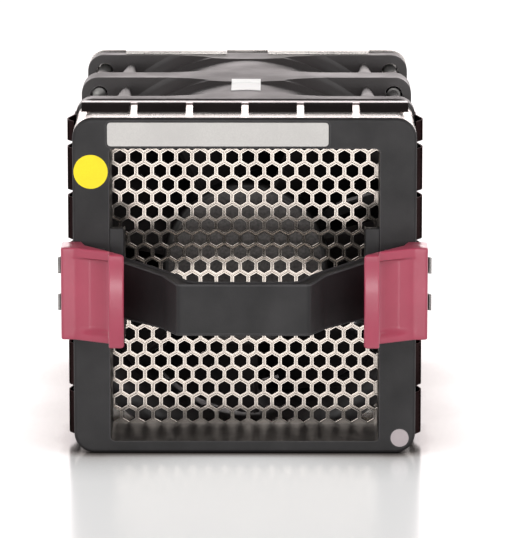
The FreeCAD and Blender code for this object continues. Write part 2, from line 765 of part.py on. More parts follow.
def blade(hand, root_half_sweep, tip_half_sweep):
    """One blade: cambered sections at root and tip, joined by a ruled surface, trimmed at the tip."""
    def section(distance, half_sweep):
        middle = (blade_start + blade_end) / 2
        lead = Vector(-hand * half_sweep, blade_start, distance)
        trail = Vector(hand * half_sweep, blade_end, distance)
        across = Vector(hand * (blade_end - blade_start), -2 * half_sweep, 0).normalize()
        wide = blade_thickness / 2
        bow = Vector(0, middle, distance) + across * blade_camber
        front = Part.Arc(lead + across * wide, bow + across * wide, trail + across * wide).toShape()
        back = Part.Arc(trail - across * wide, bow - across * wide, lead - across * wide).toShape()
        edges = [front, Part.LineSegment(trail + across * wide, trail - across * wide).toShape()]
        edges += [back, Part.LineSegment(lead - across * wide, lead + across * wide).toShape()]
        return Part.Wire(edges)
    root = section(hub_radius - blade_root_depth, root_half_sweep)
    tip = section(tip_radius + 1, tip_half_sweep)
    solid = Part.makeLoft([root, tip], True, True)
    return solid.common(rod(0, 0, tip_radius, 0, fan_depth))


def impeller(count, one, phase):
    end = yoke_start + rotor_length - hub_face_thickness
    outer = rod(0, 0, hub_radius, hub_face, end)
    rim = [edge for edge in outer.Edges if edge.BoundBox.YMax < hub_face + 1e-6]
    outer = outer.makeFillet(hub_edge_radius, rim)
    blades = [turn(one, 360 * i / count + phase) for i in range(count)]
    return outer.fuse(blades).cut(rod(0, 0, yoke_radius, yoke_start, fan_depth))


def rotor_yoke():
    end = magnet_start() + magnet_length
    shell = rod(0, 0, yoke_radius, yoke_start, end)
    shell = shell.cut(rod(0, 0, magnet_radius, yoke_start + yoke_wall, end + 1))
    bush = rod(0, 0, yoke_bush_radius, yoke_start + yoke_wall, yoke_start + yoke_wall + yoke_bush_length)
    return shell.fuse(bush).cut(rod(0, 0, shaft_radius, 0, fan_depth))


def magnet_start():
    return yoke_start + yoke_wall + magnet_setback


def stator():
    end = stator_start + stator_length
    ring_radius = tube_radius + stator_yoke
    teeth = []
    for i in range(tooth_count):
        tooth = box(-tooth_width / 2, tooth_width / 2, stator_start, end, ring_radius - 0.5, stator_radius - 0.5)
        tip = box(-tooth_tip_width / 2, tooth_tip_width / 2, stator_start, end,
                  stator_radius - 2 * tooth_tip, stator_radius)
        teeth.append(turn(tooth.fuse(tip), 360 * i / tooth_count))
    stack = rod(0, 0, ring_radius, stator_start, end).fuse(teeth)
    return stack.common(rod(0, 0, stator_radius, stator_start, end)).cut(rod(0, 0, tube_radius, 0, fan_depth))


def windings():
    """One coil round each tooth."""
    wide = tooth_width / 2 + winding_gap
    outer = wide + winding_thickness
    y0 = stator_start - winding_gap
    y1 = stator_start + stator_length + winding_gap
    low = tube_radius + stator_yoke + winding_thickness
    high = stator_radius - 2 * tooth_tip - winding_gap
    coil = box(-outer, outer, y0 - winding_thickness, y1 + winding_thickness, low, high)
    coil = coil.cut(box(-wide, wide, y0, y1, low - 1, high + 1))
    return [turn(coil, 360 * i / tooth_count) for i in range(tooth_count)]


def fan(prefix, y, rotor):
    rear_bearing = rear_bearing_end - bearing_width
    bearings = [ring(bearing_radius, shaft_radius + shaft_gap, start, start + bearing_width)
                for start in (front_bearing_y, rear_bearing)]
    clip_start = rear_bearing_end + clip_gap
    shaft_end = clip_start + clip_thickness + 0.6
    board_y = fan_depth - base_thickness - board_thickness
    pieces = {
        "frame": [fan_frame()],
        "impeller": [rotor],
        "rotor_yoke": [rotor_yoke()],
        "magnet_ring": [ring(magnet_radius, magnet_radius - magnet_wall,
                             magnet_start(), magnet_start() + magnet_length)],
        "shaft": [rod(0, 0, shaft_radius, yoke_start, shaft_end)],
        "retaining_clip": [ring(clip_radius, shaft_radius, clip_start, clip_start + clip_thickness)],
        "bearing_tube": [ring(tube_radius, bearing_radius, tube_start, tube_end)],
        "bearings": bearings,
        "stator": [stator()],
        "windings": windings(),
        "circuit_board": [ring(magnet_radius - 0.6, tube_radius + base_boss_wall + 0.1,
                               board_y, board_y + board_thickness)],
    }
    for name, solids in pieces.items():
        save(prefix + "_" + name, *[shift(solid, y=y) for solid in solids])


def fan_label():
    skin = duct(fan_label_thickness).cut(duct(0))
    patch = box(-fan_label_half_width, fan_label_half_width, fan_label_start, fan_label_end, 0, half_fan + 1)
    return shift(skin.common(patch), y=front_fan_y)


# --- rear cap, connector, long screws -----------------------------------------------------------
def rear_cap():
    back = cap_end - cap_sheet
    plate = slab(-half_fan, half_fan, -half_fan, half_fan, flange_radius, back, cap_end)
    bore = rod(0, 0, bore_radius + cap_bore_gap, back - 1, cap_end + 1)
    bore = bore.cut(box(-tongue_half_width, tongue_half_width, back - 2, cap_end + 2,
                        -half_fan, tongue_inset - half_fan))
    walls = []
    for side in (-1, 1):
        x = side * (half_fan - cap_sheet / 2)
        walls.append(box(x - cap_sheet / 2, x + cap_sheet / 2, stack_end, cap_end,
                         cap_side_inset - half_fan, half_fan - cap_side_inset))
        half = (half_fan - cap_tab_inset - cap_tab_inner) / 2
        middle = side * (cap_tab_inner + half)
        for level in (-1, 1):
            walls.append(cap_tab(middle - half, middle + half, level))
    cuts = [bore, box(-plug_half_width, plug_half_width, back - 1, cap_end + 1,
                      plug_z - plug_half_height, plug_z + plug_half_height)]
    for x, z in four_corners(flange_hole_offset, flange_hole_offset):
        cuts.append(rod(x, z, flange_hole_radius, back - 1, cap_end + 1))
    for side in (-1, 1):
        cuts.append(rod(side * plug_screw_x, plug_z, plug_screw_radius, back - 1, cap_end + 1))
    return plate.fuse(walls).removeSplitter().cut(cuts)


def cap_tab(x0, x1, level):
    """Tab bent forwards from the cap's rear plate over the fan flange."""
    low = half_fan + cap_fit
    high = low + cap_sheet
    front = stack_end - cap_lap
    corners = [(front, low, 0), (cap_end - cap_sheet, low, 0), (cap_end - cap_sheet, half_fan - 2, 0),
               (cap_end, half_fan - 2, 0), (cap_end, high, cap_tab_radius), (front, high, 0)]
    wire = rounded_wire([(Vector(x0, y, level * z), radius) for y, z, radius in corners])
    return Part.Face(wire).extrude(Vector(x1 - x0, 0, 0))


def rear_connector():
    low = plug_z - plug_half_height
    high = plug_z + plug_half_height
    body = box(-plug_half_width, plug_half_width, cap_end - plug_front, rear_reach, low, high)
    ears = slab(-plug_ear_half, plug_ear_half, plug_z - plug_ear_half_height, plug_z + plug_ear_half_height,
                1.0, cap_end, cap_end + plug_ear_thickness)
    cuts = [box(plug_wall - plug_half_width, plug_half_width - plug_wall, cap_end + plug_floor, rear_reach + 1,
                low + plug_wall, high - plug_wall)]
    for side in (-1, 1):
        cuts.append(rod(side * plug_screw_x, plug_z, plug_screw_radius, cap_end - 1, cap_end + 5))
    cuts += contacts()
    return body.fuse(ears).cut(cuts)


def contacts():
    half = contact_size / 2
    blades = []
    for i in range(contact_columns):
        x = (i - (contact_columns - 1) / 2) * contact_pitch
        for z in (plug_z - contact_row_offset, plug_z + contact_row_offset):
            blades.append(box(x - half, x + half, cap_end - plug_front - contact_tail,
                              rear_reach - 1.0, z - half, z + half))
    return blades


def connector_screws():
    seat = cap_end + plug_ear_thickness
    screws = []
    for side in (-1, 1):
        x = side * plug_screw_x
        shank = rod(x, plug_z, plug_screw_radius, seat - plug_screw_length, seat)
        screws.append(shank.fuse(rod(x, plug_z, plug_screw_head, seat, seat + pan_head_height)))
    return screws


def long_screws():
    """Two screws from the rear cap through the rear fan, with a thread in the front fan's rear flange."""
    tip = rear_fan_y - flange_thickness
    screws = []
    for x in (-flange_hole_offset, flange_hole_offset):
        shank = rod(x, -x, long_screw_radius, tip, cap_end)
        thread = rod(x, -x, flange_hole_radius, tip, tip + long_screw_thread)
        screws.append(shank.fuse([thread, rod(x, -x, long_screw_head_radius, cap_end, cap_end + screw_head_height)]))
    return screws


def collar_screws():
    """Two bolts on the other corners, from the collar's tabs through the front fan."""
    seat = collar_depth - sheet
    screws = []
    for x in (-flange_hole_offset, flange_hole_offset):
        shank = rod(x, x, collar_screw_radius, seat, collar_nut_y() + nut_height + collar_screw_end)
        screws.append(shank.fuse(rod(x, x, collar_screw_head_radius, seat - screw_head_height, seat)))
    return screws


def collar_nut_y():
    return rear_fan_y + flange_thickness


def collar_nuts():
    nuts = []
    for x in (-flange_hole_offset, flange_hole_offset):
        body = Part.Face(hexagon(x, x, collar_nut_y(), nut_across_flats)).extrude(Vector(0, nut_height, 0))
        nuts.append(body.cut(rod(x, x, collar_screw_radius, 0, rear_reach)))
    return nuts


# --- build --------------------------------------------------------------------------------------
os.makedirs("parts", exist_ok=True)
save("bezel", bezel())
save("label_plate", label_plate())
save("round_sticker", rod(-opening_half_width - sticker_side, collar_half_z - sticker_inset,
                          sticker_radius, -sticker_thickness, 0))
save("light_pipe", light_pipe())
save("led_board", led_board())
save("hex_grille", hex_grille())
save("grille_screws", *grille_screws())
save("collar", collar())
for strip_name, strip_solid in gasket_strips().items():
    save(strip_name, strip_solid)
save("handle", handle())
save("handle_screws", *handle_screws())
for piece_name, piece in (("latch", latch()), ("latch_pin", latch_pin()), ("latch_hook", latch_hook()),
                          ("latch_spring", latch_spring())):
    save(piece_name + "_right", piece)
    save(piece_name + "_left", mirrored(piece))
front_blade = blade(1, front_root_half_sweep, front_tip_half_sweep)
rear_blade = blade(-1, rear_root_half_sweep, rear_tip_half_sweep)
fan("front", front_fan_y, impeller(front_blade_count, front_blade, front_blade_phase))
fan("rear", rear_fan_y, impeller(rear_blade_count, rear_blade, rear_blade_phase))
save("fan_label", fan_label())
save("rear_cap", rear_cap())
save("rear_connector", rear_connector())
save("connector_contacts", *contacts())
save("connector_screws", *connector_screws())
save("long_screws", *long_screws())
save("collar_screws", *collar_screws())
save("collar_nuts", *collar_nuts())
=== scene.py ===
# %% [markdown]
# # A server fan module
# The module slides into a server as one piece: a black moulded bezel with a hexagon grille, a strap
# handle and two wine-red squeeze latches, a bright sheet-metal collar with spring fingers, and two square
# fans in line behind it.  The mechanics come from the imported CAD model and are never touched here.  This
# lesson adds what CAD leaves out: soft moulded edges, coined lips on the grille, scooped latches on wound
# springs, cross recesses in the screws, and finishes that behave like moulded plastic, rolled steel and
# printed foil.

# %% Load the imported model
import json
import math

import bmesh
import bpy
import numpy as np
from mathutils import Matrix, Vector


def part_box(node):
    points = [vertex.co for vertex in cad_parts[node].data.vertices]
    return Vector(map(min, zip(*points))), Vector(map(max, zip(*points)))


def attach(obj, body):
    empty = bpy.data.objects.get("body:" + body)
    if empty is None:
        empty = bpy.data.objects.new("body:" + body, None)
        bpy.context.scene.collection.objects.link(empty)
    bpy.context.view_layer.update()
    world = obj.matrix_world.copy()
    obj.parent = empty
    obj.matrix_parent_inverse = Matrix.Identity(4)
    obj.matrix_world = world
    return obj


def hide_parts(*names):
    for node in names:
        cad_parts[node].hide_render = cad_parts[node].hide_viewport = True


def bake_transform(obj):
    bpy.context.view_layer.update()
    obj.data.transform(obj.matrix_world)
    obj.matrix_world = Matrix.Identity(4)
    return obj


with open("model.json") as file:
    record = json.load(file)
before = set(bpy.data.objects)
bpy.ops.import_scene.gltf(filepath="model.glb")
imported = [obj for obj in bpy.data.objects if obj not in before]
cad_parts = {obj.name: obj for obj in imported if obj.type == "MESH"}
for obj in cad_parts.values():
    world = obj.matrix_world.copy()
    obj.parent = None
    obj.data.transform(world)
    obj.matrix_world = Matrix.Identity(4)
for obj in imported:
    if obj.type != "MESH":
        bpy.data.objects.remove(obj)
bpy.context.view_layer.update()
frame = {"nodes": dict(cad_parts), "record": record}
nodes = frame["nodes"]
mm = 0.001

# %% [markdown]
# ## Camera
# A long lens far away keeps the module's sides almost parallel, as in a catalogue picture.  The camera
# looks slightly down, so that the fans show over the top of the bezel.

# %% Camera
tilt_down = 10.846
turn_left = 0.308
scene = bpy.context.scene
camera_data = bpy.data.cameras.new("camera")
camera_data.lens = 311.2
camera_data.sensor_width = 36.0
camera = bpy.data.objects.new("camera", camera_data)
camera.location = (8.09 * mm, -1099.9 * mm, 247.62 * mm)
camera.rotation_euler = (math.radians(90 - tilt_down), 0.0, math.radians(turn_left))
scene.collection.objects.link(camera)
scene.camera = camera
scene.view_settings.view_transform = "Standard"
print("lens:", camera_data.lens, "mm")

# %% [markdown]
# ## Node trees
# A material is a small program, and a few helpers keep those programs readable: one empties a tree, one
# adds a node and sets its inputs by name, and one draws a link.  Sums, ramps, ray tests and the sockets of
# a group get helpers of their own, because every finish needs them.

# %% Helpers for node trees
def node_tree(owner):
    """Empties the owner's node tree and returns it."""
    owner.use_nodes = True
    owner.node_tree.nodes.clear()
    return owner.node_tree


def add(tree, kind, **settings):
    """Adds a node; settings are its properties, and in_NAME sets the input socket NAME."""
    node = tree.nodes.new(kind)
    for key, value in settings.items():
        if key.startswith("in_"):
            node.inputs[key[3:].replace("_", " ")].default_value = value
        else:
            setattr(node, key, value)
    return node


def join(tree, source, target):
    """Links an output socket to an input socket."""
    tree.links.new(source, target)


def feed(tree, value, socket):
    """Gives an input socket a number, a colour (red, green, blue) or the output of another node."""
    if isinstance(value, bpy.types.NodeSocket):
        join(tree, value, socket)
    elif isinstance(value, tuple):
        socket.default_value = (*value, 1.0)
    else:
        socket.default_value = value


def math_node(tree, operation, *operands):
    """Adds a maths node; each operand is a socket or a number, and the result is its output."""
    node = add(tree, "ShaderNodeMath", operation=operation)
    for slot, value in enumerate(operands):
        feed(tree, value, node.inputs[slot])
    return node.outputs[0]


def two_stops(tree, source, low_at, low, high_at, high):
    """Ramp from the colour low at low_at to the colour high at high_at, read by a value socket."""
    node = add(tree, "ShaderNodeValToRGB")
    for stop, position, colour in zip(node.color_ramp.elements, (low_at, high_at), (low, high)):
        stop.position = position
        stop.color = (*colour, 1.0)
    join(tree, source, node.inputs[0])
    return node.outputs[0]


def sharp_rays(tree):
    """1 for the rays that should see the room as it is: camera, glossy and transmitted rays."""
    path = add(tree, "ShaderNodeLightPath")
    seen = math_node(tree, "MAXIMUM", path.outputs["Is Camera Ray"], path.outputs["Is Glossy Ray"])
    return math_node(tree, "MAXIMUM", seen, path.outputs["Is Transmission Ray"])


def choose_shader(tree, factor, first, second):
    """Mixes two shader sockets by a factor socket or number."""
    node = add(tree, "ShaderNodeMixShader")
    feed(tree, factor, node.inputs[0])
    join(tree, first, node.inputs[1])
    join(tree, second, node.inputs[2])
    return node.outputs[0]


def new_group(name, inputs, outputs):
    """Starts a shader group with float inputs (name, default) and float outputs; returns its ends too."""
    group = bpy.data.node_groups.new(name, "ShaderNodeTree")
    for label, default in inputs:
        socket = group.interface.new_socket(label, in_out="INPUT", socket_type="NodeSocketFloat")
        socket.default_value = default
    for label in outputs:
        group.interface.new_socket(label, in_out="OUTPUT", socket_type="NodeSocketFloat")
    return group, add(group, "NodeGroupInput"), add(group, "NodeGroupOutput")


# %% [markdown]
# ## Light and floor
# The room is plain and pale with a darker ceiling.  Camera rays and sharp reflections see that room at
# full white, while the light that falls on the object is set apart from it, so that white walls never
# wash the colours out.  A low wide lamp behind the module draws the bright lines along every top edge, and
# a low strip in front puts one soft band of light across every face that bulges.  A lamp high in front
# shows the rounded mouths of the ducts, and one on either side models their barrels.

# %% World
world = bpy.data.worlds.new("pale room")
scene.world = world
tree = node_tree(world)
fill = add(tree, "ShaderNodeBackground", in_Color=(1.0, 0.99, 0.985, 1.0), in_Strength=0.50)
seen = add(tree, "ShaderNodeBackground", in_Strength=1.0)
direction = add(tree, "ShaderNodeTexCoord")
height = add(tree, "ShaderNodeSeparateXYZ")
output = add(tree, "ShaderNodeOutputWorld")
join(tree, direction.outputs["Generated"], height.inputs[0])
ceiling = two_stops(tree, height.outputs["Z"], 0.22, (1.0, 1.0, 1.0), 0.50, (0.10, 0.095, 0.095))
join(tree, ceiling, seen.inputs["Color"])
room = choose_shader(tree, sharp_rays(tree), fill.outputs[0], seen.outputs[0])
join(tree, room, output.inputs[0])
print("world:", world.name)


# %% Lamps
def softbox(name, place, aim, width, height, watts, colour=(1.0, 1.0, 1.0)):
    """A rectangular lamp at place, turned towards aim."""
    data = bpy.data.lights.new(name, "AREA")
    data.shape = "RECTANGLE"
    data.size = width
    data.size_y = height
    data.energy = watts
    data.color = colour
    lamp = bpy.data.objects.new(name, data)
    lamp.location = place
    away = np.array(place) - np.array(aim)
    lamp.rotation_euler = (math.atan2(math.hypot(away[0], away[1]), away[2]), 0.0,
                           math.atan2(away[0], -away[1]))
    scene.collection.objects.link(lamp)


middle = (0.0, 0.0, 0.04)
softbox("low back", (0.0, 1.2, 0.27), middle, 2.4, 0.35, 5.2, (1.0, 0.88, 0.88))
softbox("front strip", (0.0, -1.25, 0.17), middle, 1.8, 0.22, 7.0)
softbox("high front", (0.0, -0.75, 0.75), middle, 1.4, 0.4, 4.0)
softbox("high left", (-1.0, 0.1, 0.7), middle, 0.5, 0.5, 3.5)
softbox("high right", (1.0, 0.1, 0.7), middle, 0.5, 0.5, 3.5)

# %% [markdown]
# The floor is glossy white laminate: mostly matt, with a quarter of blurred mirror.  Two occlusion reaches
# paint a warm shadow into it towards the module, a wide soft one and a short one right at the edge that
# touches.

# %% Floor
floor_reach = 6.0
floor_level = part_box("bezel")[0][2] - 0.05 * mm
floor_data = bpy.data.meshes.new("floor")
floor_corners = [(x * floor_reach, y * floor_reach, floor_level)
                 for x, y in ((-1, -1), (1, -1), (1, 1), (-1, 1))]
floor_data.from_pydata(floor_corners, [], [(0, 1, 2, 3)])
floor = bpy.data.objects.new("floor", floor_data)
scene.collection.objects.link(floor)
gloss = bpy.data.materials.new("glossy white floor")
tree = node_tree(gloss)
matt_level = 0.26
glow_level = 0.72
bounce_level = 0.25
mirror_share = 0.25
matt = add(tree, "ShaderNodeBsdfDiffuse")
mirror = add(tree, "ShaderNodeBsdfGlossy", in_Color=(1.0, 1.0, 1.0, 1.0), in_Roughness=0.19)
glow = add(tree, "ShaderNodeEmission")
bounce = add(tree, "ShaderNodeEmission", in_Color=(1.0, 1.0, 1.0, 1.0), in_Strength=bounce_level)
body = add(tree, "ShaderNodeAddShader")
output = add(tree, "ShaderNodeOutputMaterial")
contact = add(tree, "ShaderNodeAmbientOcclusion", samples=16, in_Distance=0.030)
touch = add(tree, "ShaderNodeAmbientOcclusion", samples=16, in_Distance=0.005)
wide = math_node(tree, "POWER", contact.outputs["AO"], 1.9)
near = math_node(tree, "MULTIPLY", wide, math_node(tree, "POWER", touch.outputs["AO"], 2.2))
# painted contact shadow: where the floor is occluded its glow dims and turns warm brown, and its matt
# colour dims
tone = two_stops(tree, near, 0.0, (0.84, 0.70, 0.62), 0.8, (1.0, 0.995, 0.99))
join(tree, tone, glow.inputs["Color"])
join(tree, math_node(tree, "MULTIPLY", near, glow_level), glow.inputs["Strength"])
join(tree, math_node(tree, "MULTIPLY", near, matt_level), matt.inputs["Color"])
lit = choose_shader(tree, sharp_rays(tree), bounce.outputs[0], glow.outputs[0])
join(tree, lit, body.inputs[0])
join(tree, matt.outputs[0], body.inputs[1])
surface = choose_shader(tree, mirror_share, body.outputs[0], mirror.outputs[0])
join(tree, surface, output.inputs[0])
floor_data.materials.append(gloss)
print("floor:", 2 * floor_reach, "m square")

# %% [markdown]
# ## Shared effects
# Moulded plastic is never one colour: spark-eroded moulds leave a fine grain, and handling polishes it in
# soft patches.  Rolled sheet carries long faint streaks along the rolling direction.  Edges wear first and
# catch the light, so a mask compares the true normal with one averaged round the edge; the lighter edge it
# gives is partly wear and partly a painted highlight.  Each effect is one group, so that every material
# uses the same recipe at its own scale.

# %% Group: moulded grain
moulded, ends_in, ends_out = new_group("moulded grain", [("Scale", 1.0)], ["Height", "Mottle", "Gloss"])
where = add(moulded, "ShaderNodeTexCoord")
fine = add(moulded, "ShaderNodeTexNoise", in_Detail=3.0, in_Roughness=0.6)
pits = add(moulded, "ShaderNodeTexVoronoi", feature="SMOOTH_F1")
soft = add(moulded, "ShaderNodeTexNoise", in_Detail=4.0, in_Roughness=0.55)
for texture, per_metre in ((fine, 3200.0), (pits, 2400.0), (soft, 110.0)):
    join(moulded, where.outputs["Object"], texture.inputs["Vector"])
    density = math_node(moulded, "MULTIPLY", ends_in.outputs["Scale"], per_metre)
    join(moulded, density, texture.inputs["Scale"])
grain = math_node(moulded, "MULTIPLY", fine.outputs["Fac"], 0.6)
join(moulded, math_node(moulded, "ADD", grain, pits.outputs["Distance"]), ends_out.inputs["Height"])
join(moulded, soft.outputs["Fac"], ends_out.inputs["Mottle"])
polish = math_node(moulded, "MULTIPLY", soft.outputs["Fac"], fine.outputs["Fac"])
join(moulded, polish, ends_out.inputs["Gloss"])

# %% Group: rolled streaks
rolled, ends_in, ends_out = new_group("rolled streaks", [("Scale", 1.0)], ["Height", "Streak", "Cloud"])
where = add(rolled, "ShaderNodeTexCoord")
stretch = add(rolled, "ShaderNodeMapping")
stretch.inputs["Scale"].default_value = (0.04, 1.0, 1.0)
long = add(rolled, "ShaderNodeTexNoise", in_Detail=4.0, in_Roughness=0.7)
cloud = add(rolled, "ShaderNodeTexNoise", in_Detail=3.0, in_Roughness=0.5)
join(rolled, where.outputs["Object"], stretch.inputs["Vector"])
join(rolled, stretch.outputs[0], long.inputs["Vector"])
join(rolled, where.outputs["Object"], cloud.inputs["Vector"])
join(rolled, math_node(rolled, "MULTIPLY", ends_in.outputs["Scale"], 2600.0), long.inputs["Scale"])
join(rolled, math_node(rolled, "MULTIPLY", ends_in.outputs["Scale"], 90.0), cloud.inputs["Scale"])
join(rolled, long.outputs["Fac"], ends_out.inputs["Height"])
join(rolled, long.outputs["Fac"], ends_out.inputs["Streak"])
join(rolled, cloud.outputs["Fac"], ends_out.inputs["Cloud"])

# %% Group: worn and highlit edge
worn_and_highlit, ends_in, ends_out = new_group("worn edge", [("Radius", 0.0006)], ["Edge"])
# edge mask: the lighter edge it gives is partly wear and partly a painted highlight
rounded = add(worn_and_highlit, "ShaderNodeBevel", samples=6)
surface = add(worn_and_highlit, "ShaderNodeNewGeometry")
agree = add(worn_and_highlit, "ShaderNodeVectorMath", operation="DOT_PRODUCT")
edge_mask = add(worn_and_highlit, "ShaderNodeMapRange")
edge_mask.inputs["From Min"].default_value = 0.995
edge_mask.inputs["From Max"].default_value = 0.90
join(worn_and_highlit, ends_in.outputs["Radius"], rounded.inputs["Radius"])
join(worn_and_highlit, rounded.outputs[0], agree.inputs[0])
join(worn_and_highlit, surface.outputs["Normal"], agree.inputs[1])
join(worn_and_highlit, agree.outputs["Value"], edge_mask.inputs["Value"])
join(worn_and_highlit, edge_mask.outputs[0], ends_out.inputs["Edge"])
print("groups:", [g.name for g in bpy.data.node_groups])

# %% [markdown]
# ## Finishes
# Every finish starts the same way: a Principled shader whose constants are set on its own sockets, a group
# that supplies the detail, and a ramp that turns that detail into two close colours.  Plastics take the
# moulded grain, metals the rolled streaks.  The edge mask lightens the edges a little, partly as wear and
# partly as a painted highlight.

# %% Builders for plastic and metal
finishes = {}


def start(name, roughness, metallic=0.0, coat=0.0, specular=0.5):
    """New material for a slot, with its Principled shader linked to the output."""
    made = bpy.data.materials.new(name)
    tree = node_tree(made)
    shader = add(tree, "ShaderNodeBsdfPrincipled", in_Roughness=roughness, in_Metallic=metallic)
    shader.inputs["Coat Weight"].default_value = coat
    shader.inputs["Coat Roughness"].default_value = 0.20
    shader.inputs["Specular IOR Level"].default_value = specular
    output = add(tree, "ShaderNodeOutputMaterial")
    join(tree, shader.outputs[0], output.inputs[0])
    finishes[name] = made
    return tree, shader


def use(tree, group, **values):
    """Adds a group node with its inputs set."""
    node = add(tree, "ShaderNodeGroup", node_tree=group)
    for key, value in values.items():
        node.inputs[key].default_value = value
    return node


def blend_colour(tree, factor, low, high):
    """Mixes two colours, each a tuple or a socket, by a factor socket or number."""
    node = add(tree, "ShaderNodeMix", data_type="RGBA")
    feed(tree, factor, node.inputs[0])
    feed(tree, low, node.inputs[6])
    feed(tree, high, node.inputs[7])
    return node.outputs[2]


def span(tree, source, low, high, start_at=0.3, end_at=0.7):
    """Maps a value that mostly lies between start_at and end_at to low ... high."""
    node = add(tree, "ShaderNodeMapRange")
    for label, value in (("From Min", start_at), ("From Max", end_at), ("To Min", low), ("To Max", high)):
        node.inputs[label].default_value = value
    join(tree, source, node.inputs["Value"])
    return node.outputs[0]


def relief(tree, source, strength, distance, shader):
    """Bump from a height socket."""
    bump = add(tree, "ShaderNodeBump", in_Strength=strength, in_Distance=distance)
    join(tree, source, bump.inputs["Height"])
    join(tree, bump.outputs[0], shader.inputs["Normal"])


def plastic(name, low, high, edge, roughness, spread=0.12, scale=1.0, depth=0.25, wear_and_highlight=0.5, coat=0.0,
            specular=0.5):
    """Moulded plastic: grain, soft patches of polish, and lighter edges, partly wear and partly a painted
    highlight.
    """
    tree, shader = start(name, roughness, coat=coat, specular=specular)
    grain = use(tree, moulded, Scale=scale)
    rim = use(tree, worn_and_highlit, Radius=0.0005)
    body = blend_colour(tree, span(tree, grain.outputs["Mottle"], 0.0, 1.0), low, high)
    # paler edge colour mixed in: partly wear, partly a painted highlight where edges catch the light
    rubbed_and_highlit = math_node(tree, "MULTIPLY", rim.outputs["Edge"], wear_and_highlight)
    join(tree, blend_colour(tree, rubbed_and_highlit, body, edge), shader.inputs["Base Color"])
    shine = span(tree, grain.outputs["Mottle"], roughness + spread / 2, roughness - spread / 2)
    join(tree, shine, shader.inputs["Roughness"])
    relief(tree, grain.outputs["Height"], depth, 0.00004, shader)
    return tree, shader


def metal(name, low, high, roughness, spread=0.12, scale=1.0, depth=0.15):
    """Rolled or drawn metal: streaks along x and slow clouds of tarnish."""
    tree, shader = start(name, roughness, metallic=1.0)
    streaks = use(tree, rolled, Scale=scale)
    tone = math_node(tree, "ADD", streaks.outputs["Streak"], streaks.outputs["Cloud"])
    body = blend_colour(tree, span(tree, tone, 0.0, 1.0, 0.75, 1.25), low, high)
    join(tree, body, shader.inputs["Base Color"])
    shine = span(tree, tone, roughness + spread / 2, roughness - spread / 2, 0.7, 1.3)
    join(tree, shine, shader.inputs["Roughness"])
    relief(tree, streaks.outputs["Height"], depth, 0.00003, shader)
    return tree, shader


def printed(name, low, high, roughness, scale=1.0, depth=0.1):
    """Printed or coated film: a faint mottle and a paper-like tooth."""
    tree, shader = start(name, roughness)
    grain = use(tree, moulded, Scale=scale)
    body = blend_colour(tree, span(tree, grain.outputs["Gloss"], 0.0, 1.0, 0.15, 0.4), low, high)
    join(tree, body, shader.inputs["Base Color"])
    shine = span(tree, grain.outputs["Mottle"], roughness - 0.05, roughness + 0.05)
    join(tree, shine, shader.inputs["Roughness"])
    relief(tree, grain.outputs["Height"], depth, 0.00003, shader)


# %% [markdown]
# Plastics: a dark moulding still shows two close blacks and a paler edge, partly rubbed and partly a
# painted highlight.  The impellers' hub faces are painted a lighter, speckled grey than the blades; the
# distance from the axis tells them from the blades.

# %% Plastics
plastic("bezel_black", (0.011, 0.010, 0.0105), (0.018, 0.0162, 0.017), (0.09, 0.085, 0.088), 0.50,
        specular=0.34)
plastic("fan_black", (0.025, 0.0215, 0.0215), (0.040, 0.0345, 0.0345), (0.08, 0.07, 0.07), 0.42,
        scale=0.7, depth=0.35, specular=0.46)
plastic("latch_burgundy", (0.345, 0.036, 0.074), (0.395, 0.046, 0.090), (0.49, 0.11, 0.17), 0.34,
        depth=0.10, wear_and_highlight=0.25, coat=0.48)
plastic("lens_grey", (0.40, 0.34, 0.35), (0.47, 0.41, 0.42), (0.55, 0.50, 0.50), 0.35, wear_and_highlight=0.3)
plastic("board_green", (0.015, 0.09, 0.035), (0.025, 0.13, 0.05), (0.20, 0.22, 0.10), 0.35, scale=0.5)
plastic("magnet_grey", (0.07, 0.07, 0.075), (0.11, 0.11, 0.115), (0.2, 0.2, 0.2), 0.55)


hub_low, hub_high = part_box("front_impeller")
axis_level = (hub_low[2] + hub_high[2]) / 2
hub_radius = 18.4 * mm
hub_rim = 0.4 * mm
tree, shader = plastic("impeller_black", (0.016, 0.0135, 0.0135), (0.028, 0.024, 0.024), (0.09, 0.08, 0.08),
                       0.42, scale=0.7, depth=0.45)
where = add(tree, "ShaderNodeTexCoord")
place = add(tree, "ShaderNodeSeparateXYZ")
speckle = add(tree, "ShaderNodeTexNoise", in_Scale=1500.0, in_Detail=2.0)
join(tree, where.outputs["Object"], place.inputs[0])
join(tree, where.outputs["Object"], speckle.inputs["Vector"])
over = math_node(tree, "SUBTRACT", place.outputs["Z"], axis_level)
across = math_node(tree, "MULTIPLY", place.outputs["X"], place.outputs["X"])
square = math_node(tree, "ADD", across, math_node(tree, "MULTIPLY", over, over))
from_axis = math_node(tree, "SQRT", square)
# a lighter speckled grey is painted on the hub faces, out to hub_radius
on_hub = span(tree, from_axis, 1.0, 0.0, hub_radius - hub_rim, hub_radius)
blades = shader.inputs["Base Color"].links[0].from_socket
hub_speckle = span(tree, speckle.outputs["Fac"], 0.0, 1.0)
grey = blend_colour(tree, hub_speckle, (0.060, 0.053, 0.051), (0.135, 0.120, 0.115))
join(tree, blend_colour(tree, on_hub, blades, grey), shader.inputs["Base Color"])
print("plastics:", sorted(finishes))

# %% [markdown]
# Metals: plated sheet is the brightest and the spring strips are toned almost brown, because heat treatment
# darkens them.  The side strips stand edge-on to the light, so they get a darker copy of the finish with a
# dull specular tint: painted shade.

# %% Metals
metal("nickel_sheet", (0.80, 0.745, 0.71), (0.89, 0.845, 0.81), 0.27, depth=0.08)
metal("grille_nickel", (0.58, 0.515, 0.465), (0.68, 0.61, 0.55), 0.15, spread=0.05, depth=0.02)
metal("spring_metal", (0.090, 0.072, 0.072), (0.15, 0.12, 0.12), 0.22, spread=0.1)
